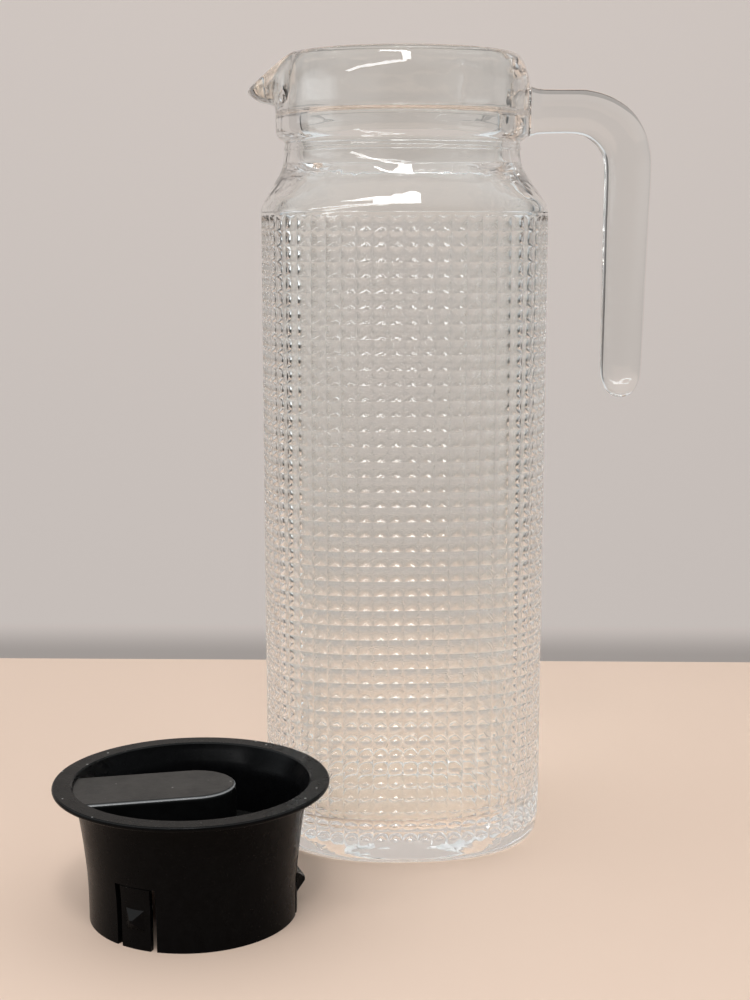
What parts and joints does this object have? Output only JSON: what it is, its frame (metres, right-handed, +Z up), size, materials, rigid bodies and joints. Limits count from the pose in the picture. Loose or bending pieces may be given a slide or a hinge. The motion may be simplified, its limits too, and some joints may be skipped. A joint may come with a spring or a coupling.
{
  "type": "glass fridge jug",
  "caption": "Clear pressed-glass fridge jug of rounded-square section with a pouring lip, open-ended glass hook handle and a black moulded plug lid with finger bar standing beside it.",
  "frame": {"origin": "centre of the jug's base, on the surface that it stands on", "axes": "+Z up along the jug's axis, +X towards the handle, -X towards the pouring lip, -Y towards the viewer and the lid"},
  "size_m": [0.1812, 0.1565, 0.245],
  "materials": {
    "clear_glass": "clear pressed glass, fire-polished, with a grid of small square dimples on the sides",
    "black_plastic": "satin black moulded polypropylene"
  },
  "bodies": {
    "jug": {"glass_body": "clear_glass", "glass_handle": "clear_glass"},
    "lid": {"lid_cup": "black_plastic", "lid_grip": "black_plastic"},
    "catch_front": {"lid_catch_front": "black_plastic"},
    "catch_right": {"lid_catch_right": "black_plastic"},
    "catch_back": {"lid_catch_back": "black_plastic"}
  },
  "joints": [
    {"name": "lid_lift", "type": "slide", "parent": "jug", "child": "lid", "axis": [0, 0, 1], "range_m": [0, 0.12]},
    {"name": "catch_front_flex", "type": "hinge", "parent": "lid", "child": "catch_front", "pos_m": [-0.07827, -0.0991, 0.0173], "axis": [0.8771, -0.4802, 0], "range_deg": [0, 5], "stiffness_Nm_per_rad": 0.05},
    {"name": "catch_right_flex", "type": "hinge", "parent": "lid", "child": "catch_right", "pos_m": [-0.03491, -0.07273, 0.0173], "axis": [-0.0227, 0.9997, 0], "range_deg": [0, 5], "stiffness_Nm_per_rad": 0.05},
    {"name": "catch_back_flex", "type": "hinge", "parent": "lid", "child": "catch_back", "pos_m": [-0.07942, -0.04836, 0.0173], "axis": [-0.8545, -0.5195, 0], "range_deg": [0, 5], "stiffness_Nm_per_rad": 0.05}
  ]
}
